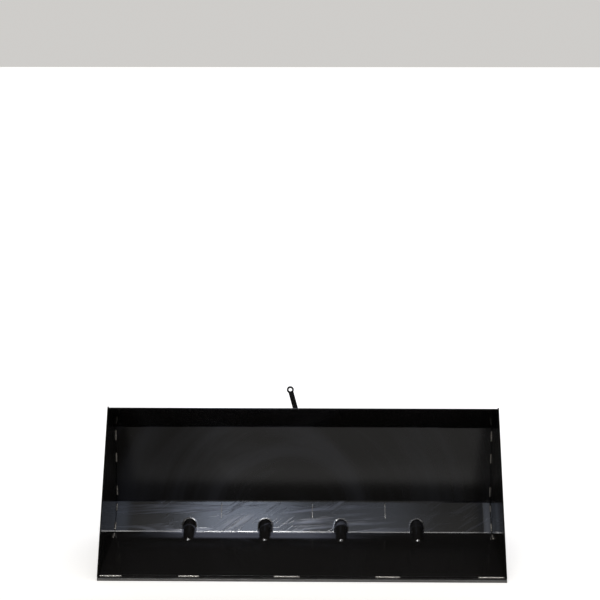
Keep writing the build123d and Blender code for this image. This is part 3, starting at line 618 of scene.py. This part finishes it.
# ---------------------------------------------------------------- the CAD nodes, finished and eased
EASED_EDGE = 0.0007
EASE_SEGMENTS = 2
SHARP_ANGLE = math.radians(38)
FLAT_ANGLE = math.radians(0.5)
MERGE_DISTANCE = 1e-5
SLOTS_NOT_EASED = ("coated_welds", "bronze")

for entry in frame["record"]["subparts"]:
    part = nodes[entry["node"]]
    part.data.materials.clear()
    part.data.materials.append(materials[entry["material_slot"]])
    if entry["material_slot"] in SLOTS_NOT_EASED:
        continue
    weld = part.modifiers.new("join", "WELD")
    weld.merge_threshold = MERGE_DISTANCE
    flat = part.modifiers.new("flat", "DECIMATE")
    flat.decimate_type = "DISSOLVE"
    flat.angle_limit = FLAT_ANGLE
    ease = part.modifiers.new("ease", "BEVEL")
    ease.width = EASED_EDGE
    ease.segments = EASE_SEGMENTS
    ease.limit_method = "ANGLE"
    ease.angle_limit = SHARP_ANGLE
    ease.harden_normals = True


# ---------------------------------------------------------------- pieces made of swept rings
def new_piece(name, slot, mesh_maker):
    """A smooth object whose mesh is filled by mesh_maker, with its slot's material."""
    sketch = bmesh.new()
    mesh_maker(sketch)
    bmesh.ops.recalc_face_normals(sketch, faces=sketch.faces)
    mesh = bpy.data.meshes.new(name)
    sketch.to_mesh(mesh)
    sketch.free()
    for face in mesh.polygons:
        face.use_smooth = True
    piece = bpy.data.objects.new(name, mesh)
    piece.data.materials.append(materials[slot])
    scene.collection.objects.link(piece)
    return piece


def skin_rings(sketch, rings):
    """Join a row of equal rings of points into one closed tube."""
    rows = [[sketch.verts.new(point) for point in ring] for ring in rings]
    for before, after in zip(rows, rows[1:]):
        for i in range(len(before)):
            j = (i + 1) % len(before)
            sketch.faces.new((before[i], before[j], after[j], after[i]))
    sketch.faces.new(rows[0])
    sketch.faces.new(reversed(rows[-1]))


# a bead's ripples, its tapered ends, and a slow unevenness that is shifted by where the bead starts
RIPPLE = 3.4 * MM
STATIONS_PER_RIPPLE = 4
FEWEST_STEPS = 8
RIPPLE_DEPTH = 0.20
CROWN_LAG = 0.45
END_TAPER = 2.2 * MM
END_SIZE = 0.25
FULL_SIZE = 0.95
UNEVENNESS = 0.06
UNEVEN_WAVE = 410
SHIFT_BY_X, SHIFT_BY_Z = 97, 53
BURIED = 0.5 * MM
BEAD_SIDES = 7


def add_bead(sketch, start, end, one_way, other_way, fillet=True):
    """A rippled weld bead from start to end. In a corner, one_way and other_way are its legs along
    the two faces; on a flat face (fillet False) they are half its width, and its height."""
    run = end - start
    steps = max(FEWEST_STEPS, round(run.length / RIPPLE * STATIONS_PER_RIPPLE))
    along = run.normalized()
    sweep = math.pi / 2 if fillet else math.pi
    root = one_way + other_way if fillet else other_way
    root = root.normalized() * -BURIED
    rings = []
    for step in range(steps + 1):
        travelled = run.length * step / steps
        to_end = min(travelled, run.length - travelled)
        taper = min(1.0, to_end / END_TAPER)
        swell = 1 - RIPPLE_DEPTH * abs(math.cos(math.pi * travelled / RIPPLE)) ** 3
        shift = travelled * UNEVEN_WAVE + start.x * SHIFT_BY_X + start.z * SHIFT_BY_Z
        uneven = 1 + UNEVENNESS * math.sin(shift)
        opened = END_SIZE + (1 - END_SIZE) * math.sin(taper * math.pi / 2)
        size = opened * swell * uneven * FULL_SIZE
        ring = [start + along * travelled + root]
        for side in range(BEAD_SIDES):
            angle = sweep * side / (BEAD_SIDES - 1)
            lag = math.sin(math.pi * side / (BEAD_SIDES - 1)) * CROWN_LAG * RIPPLE * taper
            ring.append(
                start
                + along * (travelled - lag)
                + one_way * (math.cos(angle) * size)
                + other_way * (math.sin(angle) * size)
            )
        rings.append(ring)
    skin_rings(sketch, rings)


def beads(name, body, runs, replaced=None):
    """A piece made of weld beads, which rides on a body; rubbed ones stand for a CAD node."""

    def fill(sketch):
        for run in runs:
            add_bead(sketch, *run)

    piece = new_piece(name, "coated_welds", fill)
    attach(piece, body)
    if replaced:
        piece.data.materials[0] = rubbed_and_glinting_welds
        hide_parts(replaced)


def standing(x, depth, low, high, one_way, other_way):
    """A bead that stands between two heights, in millimetres like the other two kinds."""
    return at(x, depth, low), at(x, depth, high), one_way, other_way


def lengthwise(x, height, front, rear, one_way, other_way):
    """A bead that runs back from one depth to another."""
    return at(x, front, height), at(x, rear, height), one_way, other_way


def crosswise(depth, height, first_x, last_x, one_way, other_way):
    """A bead that runs across the bucket's width."""
    return at(first_x, depth, height), at(last_x, depth, height), one_way, other_way


LEG = 4.6 * MM
SMALL_LEG = 3.6 * MM
STITCH_LEG = 3.2  # millimetres, like the two sizes of a seam
SEAM_HALF_WIDTH = 5
SEAM_HEIGHT = 1.6

# the cutting edge's stitches: (place across the bucket, length)
edge_runs = [
    crosswise(
        SHEET_SETBACK,
        EDGE_TOP,
        place - length / 2,
        place + length / 2,
        BACK * -4.2 * MM,
        UP * 3.1 * MM,
    )
    for place, length in ((-538, 62), (-318, 59), (-42, 73), (242, 70), (533, 74))
]
beads("edge_weld_beads", "bucket", edge_runs, "edge_welds")

# stitches in the side corners: (foot, way along the panel, panel's face, distance up it, length)
side_runs = []
for side in (-1, 1):
    for foot, along, face, distance, length in (
        (BACK_FOOT, UP, -BACK, BACK_HEIGHT - 44, 32),
        (BACK_FOOT, UP, -BACK, 124, 30),
        (BACK_FOOT, UP, -BACK, 18, 30),
        (FLOOR_END, SLOPE_UP, SLOPE_FACE, SLOPE_LENGTH - 34, 24),
        (FLOOR_END, SLOPE_UP, SLOPE_FACE, 8, 26),
        (FLOOR_END, BACK, UP, -46, 36),
    ):
        corner = at(side * INNER_HALF_WIDTH, *foot)
        side_runs.append((
            corner + along * distance * MM,
            corner + along * (distance + length) * MM,
            RIGHT * -side * STITCH_LEG * MM,
            face * STITCH_LEG * MM,
        ))
beads("side_weld_beads", "bucket", side_runs, "side_welds")

# flat weld lines over the bracket tabs, on the sloped panel
slot_runs = []
for place in (-250, 28, 250):
    top = at(place, *BACK_FOOT) - SLOPE_UP * 5 * MM
    foot = top - SLOPE_UP * 50 * MM
    slot_runs.append((foot, top, RIGHT * 1.4 * MM, SLOPE_FACE * 0.8 * MM, False))
beads("slot_weld_lines", "bucket", slot_runs, "slot_welds")

# behind the bucket: the hinge brackets and skids, then the striker's plates and the stiffeners
HINGE_X = 250
BRACKET_FACE = 28.2
SKID_HALF_WIDTH = 35
STRIKER_FACE = 30
LANDING_FRONT = 498
STITCHES_PER_STIFFENER = 6
STITCH_START = 50
STITCH_PITCH = 92
bucket_runs = []
skin_foot = at(0, *FLOOR_END) - SLOPE_FACE * SHEET * MM
for place in (-HINGE_X, HINGE_X):
    for side in (-1, 1):
        face = place + side * BRACKET_FACE
        out = RIGHT * side * LEG
        bucket_runs += [
            standing(face, WALL_SKIN, 98, 210, out, BACK * LEG),
            lengthwise(face, EDGE_TOP, 388, 482, out, UP * LEG),
            (
                skin_foot + RIGHT * face * MM + SLOPE_UP * 20 * MM,
                skin_foot + RIGHT * face * MM + SLOPE_UP * 98 * MM,
                out,
                -SLOPE_FACE * LEG,
            ),
            lengthwise(
                place + side * SKID_HALF_WIDTH,
                EDGE_TOP,
                282,
                346,
                RIGHT * side * SMALL_LEG,
                -UP * SMALL_LEG,
            ),
        ]
for side in (-1, 1):
    face = side * STRIKER_FACE
    out = RIGHT * side * SMALL_LEG
    bucket_runs += [
        standing(face, WALL_SKIN, 152, 212, out, BACK * SMALL_LEG),
        standing(face, WALL_SKIN, 236, 294, out, BACK * SMALL_LEG),
        standing(face, LANDING_FRONT, 168, 222, RIGHT * side * 2.8 * MM, BACK * -SMALL_LEG),
    ]
    for i in range(STITCHES_PER_STIFFENER):
        x = side * (STITCH_START + STITCH_PITCH * i)
        over, under = (x, x + side * 46), (x + side * 20, x + side * 60)
        bucket_runs += [
            crosswise(WALL_SKIN, 322, *over, BACK * LEG, UP * SMALL_LEG),
            crosswise(WALL_SKIN, 282, *under, UP * -SMALL_LEG, BACK * SMALL_LEG),
        ]
beads("bucket_weld_beads", "bucket", bucket_runs)

# on the push frame: the tubes, hinge webs and hitch plates, then the mast and the corner gussets
TUBE_LOW = 77
TUBE_HIGH = 113
TUBE_SEAMS = (TUBE_TOP - 0.6, TUBE_TOP - 49.4)
RAIL_FRONT_X, RAIL_REAR_X = 200, 100
RAIL_NARROWING = RAIL_FRONT_X - RAIL_REAR_X
RAIL_RUN = REAR_BAR_FRONT - CROSSBAR_REAR
RAIL_HALF = 26.1
WEB_HALF = 12
HITCH_OFFSET, HITCH_HALF = 24, 4
MAST_INNER, MAST_OUTER = 30, 36
FACE_PLATE_REAR = CROSSBAR_FRONT + 12
GUSSET_FRONT = CROSSBAR_REAR - 34
frame_runs = []
for side in (-1, 1):
    rail_front = at(side * RAIL_FRONT_X, CROSSBAR_REAR, 0)
    rail_rear = at(side * RAIL_REAR_X, REAR_BAR_FRONT, 0)
    rail = (rail_rear - rail_front).normalized()
    outward = RIGHT * side
    across = rail.cross(UP)

    def upright(x, depth, one_way, other_way):
        """Add a bead up the flat of a tube's face."""
        frame_runs.append(standing(x, depth, TUBE_LOW, TUBE_HIGH, one_way * LEG, other_way * LEG))

    for reach in (-1, 1):
        upright(side * RAIL_FRONT_X + reach * RAIL_HALF, CROSSBAR_REAR, rail, RIGHT * reach)
        upright(side * RAIL_REAR_X + reach * RAIL_HALF, REAR_BAR_FRONT, -rail, RIGHT * reach)
        upright(side * HINGE_X + reach * WEB_HALF, CROSSBAR_FRONT, RIGHT * reach, -BACK)
        for layer in (-HITCH_OFFSET, HITCH_OFFSET):
            face = side * RAIL_REAR_X + layer + reach * HITCH_HALF
            upright(face, REAR_BAR_REAR, RIGHT * reach, BACK)
    # the middle bar's ends are cut at a slant, to meet the rails
    to_middle, middle_width = MIDDLE_FRONT - CROSSBAR_REAR, MIDDLE_REAR - MIDDLE_FRONT
    middle_front = RAIL_FRONT_X - RAIL_HALF - to_middle * RAIL_NARROWING / RAIL_RUN
    middle_rear = middle_front - middle_width * RAIL_NARROWING / RAIL_RUN
    upright(side * middle_front, MIDDLE_FRONT, -outward, -rail)
    upright(side * middle_rear, MIDDLE_REAR, -outward, rail)

    # flat seams over and under the joints; the gusset leaves less room on top
    for height, facing, inner_end in zip(TUBE_SEAMS, (UP, -UP), (192, 180)):
        rise = facing * SEAM_HEIGHT * MM
        for start, end, half_width in (
            (
                at(side * inner_end, CROSSBAR_REAR - 1, height),
                at(side * 220, CROSSBAR_REAR - 1, height),
                BACK * SEAM_HALF_WIDTH * MM,
            ),
            (
                at(side * 80, REAR_BAR_FRONT + 1, height),
                at(side * 120, REAR_BAR_FRONT + 1, height),
                BACK * SEAM_HALF_WIDTH * MM,
            ),
            (
                at(side * middle_front, MIDDLE_FRONT + 4, height),
                at(side * middle_rear, MIDDLE_REAR - 4, height),
                across * SEAM_HALF_WIDTH * MM,
            ),
        ):
            frame_runs.append((start, end, half_width, rise, False))

    for bar_front in (CROSSBAR_FRONT, MIDDLE_FRONT):
        for face, facing in ((MAST_OUTER, outward), (MAST_INNER, -outward)):
            foot = (side * face, TUBE_TOP, bar_front + 8, bar_front + 42)
            frame_runs.append(lengthwise(*foot, facing * LEG, UP * LEG))
    for heights in ((126, 162), (192, 230)):
        corner = (side * MAST_INNER, FACE_PLATE_REAR, *heights)
        frame_runs.append(standing(*corner, -outward * SMALL_LEG, BACK * SMALL_LEG))
    frame_runs += [
        crosswise(GUSSET_FRONT, TUBE_TOP, side * 122, side * 184, BACK * -LEG, UP * LEG),
        (
            at(side * 186.6, CROSSBAR_REAR - 22, TUBE_TOP),
            at(side * 177, CROSSBAR_REAR + 62, TUBE_TOP),
            outward * LEG,
            UP * LEG,
        ),
        crosswise(
            CROSSBAR_FRONT,
            114,
            side * HINGE_X - 11,
            side * HINGE_X + 11,
            BACK * -LEG,
            UP * SMALL_LEG,
        ),
    ]
beads("frame_weld_beads", "push_frame", frame_runs)

# ---------------------------------------------------------------- the latch spring, a real coil
SPRING_X = 19.0
PEG = (550.0, 226.0)
ANCHOR = (654.0, 186.0)
COIL_RADIUS = 6.0
WIRE_RADIUS = 1.4
TURNS = 18
PITCH = 2.9
STATIONS_PER_TURN = 20
OPENING_STATIONS = 10
HOOK_RADIUS = 5.6
HOOK_STATIONS = 26
HOOK_START, HOOK_STEP = 310, 12
SHANK_STATIONS = 11
SHANK_GAP = 3
SMOOTHINGS = 3
HELD_FROM, HELD_BEFORE_END = 40, 12
WIRE_SIDES = 8
peg, anchor = at(SPRING_X, *PEG), at(SPRING_X, *ANCHOR)
spring_axis = (anchor - peg).normalized()
spring_side = spring_axis.cross(RIGHT)
spring_run = (anchor - peg).length / MM
coil_start = (spring_run - TURNS * PITCH) / 2


def spring_path():
    """The wire's middle line, from the loop about the peg to the loop about the anchor."""
    local = []
    for i in range(HOOK_STATIONS):
        turn = math.radians(HOOK_START - HOOK_STEP * i)
        local.append((HOOK_RADIUS * math.cos(turn), HOOK_RADIUS * math.sin(turn), 0.0))
    shank = coil_start - HOOK_RADIUS - 2 * SHANK_GAP
    for i in range(SHANK_STATIONS):
        local.append((HOOK_RADIUS + SHANK_GAP + shank * i / (SHANK_STATIONS - 1), 0.0, 0.0))
    steps = TURNS * STATIONS_PER_TURN
    for i in range(steps + 1):
        turn = 2 * math.pi * i / STATIONS_PER_TURN
        open_out = min(1.0, i / OPENING_STATIONS, (steps - i) / OPENING_STATIONS)
        local.append((
            coil_start + PITCH * i / STATIONS_PER_TURN,
            COIL_RADIUS * open_out * math.cos(turn),
            COIL_RADIUS * open_out * math.sin(turn),
        ))
    end_of_coil = len(local)
    hook_and_shank = local[: HOOK_STATIONS + SHANK_STATIONS]
    local += [(spring_run - s, -a, b) for s, a, b in reversed(hook_and_shank)]
    # the hooks and shanks are smoothed into the coil, which keeps its own shape
    for _ in range(SMOOTHINGS):
        smooth = [local[0]]
        for i in range(1, len(local) - 1):
            within_coil = HELD_FROM < i < end_of_coil - HELD_BEFORE_END
            weight = 0.0 if within_coil else 0.5
            smooth.append(tuple(
                (1 - weight) * here + weight * (before + after) / 2
                for before, here, after in zip(local[i - 1], local[i], local[i + 1])
            ))
        smooth.append(local[-1])
        local = smooth
    return [peg + (spring_axis * s + spring_side * a + RIGHT * b) * MM for s, a, b in local]


def add_wire(sketch, path, radius):
    """A round wire along a path."""
    normal = RIGHT.copy()
    rings = []
    for i, point in enumerate(path):
        tangent = (path[min(i + 1, len(path) - 1)] - path[max(i - 1, 0)]).normalized()
        normal = (normal - tangent * normal.dot(tangent)).normalized()
        other = tangent.cross(normal)
        rings.append([
            point + (normal * math.cos(angle) + other * math.sin(angle)) * radius
            for angle in (2 * math.pi * k / WIRE_SIDES for k in range(WIRE_SIDES))
        ])
    skin_rings(sketch, rings)


spring = new_piece(
    "latch_spring_coil",
    "bare_steel",
    lambda sketch: add_wire(sketch, spring_path(), WIRE_RADIUS * MM),
)
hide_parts("latch_spring")
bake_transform(spring)

# ---------------------------------------------------------------- the studio floor
FLOOR_HALF_SIZE = 30
floor_mesh = bpy.data.meshes.new("floor")
sketch = bmesh.new()
bmesh.ops.create_grid(sketch, x_segments=1, y_segments=1, size=FLOOR_HALF_SIZE)
sketch.to_mesh(floor_mesh)
sketch.free()
floor = bpy.data.objects.new("floor", floor_mesh)
floor.data.materials.append(floor_material())
scene.collection.objects.link(floor)

# the boxes and strips over the bucket don't light the floor, which would burn out under them
all_but_floor = bpy.data.collections.new("all_but_floor")
all_but_floor.objects.link(floor)
all_but_floor.collection_objects[0].light_linking.link_state = "EXCLUDE"
for light in object_lights:
    light.light_linking.receiver_collection = all_but_floor
